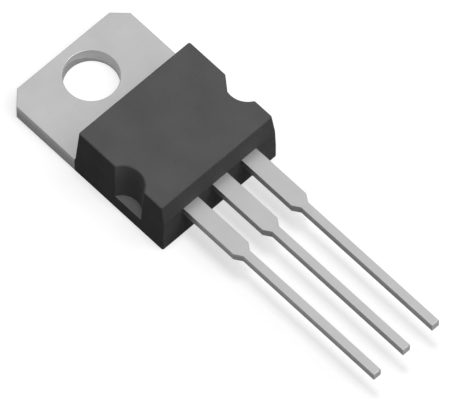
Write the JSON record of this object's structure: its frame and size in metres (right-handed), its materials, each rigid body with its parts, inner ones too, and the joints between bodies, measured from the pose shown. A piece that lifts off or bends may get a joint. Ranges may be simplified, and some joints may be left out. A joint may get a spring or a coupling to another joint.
{
  "type": "power mosfet",
  "caption": "Through-hole power transistor: black epoxy moulding on a tinned copper heat tab with a screw hole, and straight in-line leads.",
  "frame": {"origin": "centre of the screw hole on the mounting face, which is the back of the metal tab", "axes": "+Z from the mounting face to the top of the moulding, +Y from the leads to the tab, +X across the leads from gate to source"},
  "size_m": [0.01, 0.0313, 0.0048],
  "materials": {
    "tinned_copper": "matte tin plate over copper",
    "black_epoxy": "satin moulded epoxy, very fine grain",
    "silicon": "polished chip with metal pads",
    "solder": "dull solder",
    "aluminium_wire": "drawn aluminium wire"
  },
  "bodies": {
    "root": {"tab_and_drain_lead": "tinned_copper", "gate_lead": "tinned_copper", "source_lead": "tinned_copper", "moulded_body": "black_epoxy", "silicon_die": "silicon", "die_attach_solder": "solder", "source_bond_wire_1": "aluminium_wire", "source_bond_wire_2": "aluminium_wire", "gate_bond_wire": "aluminium_wire"}
  },
  "joints": []
}
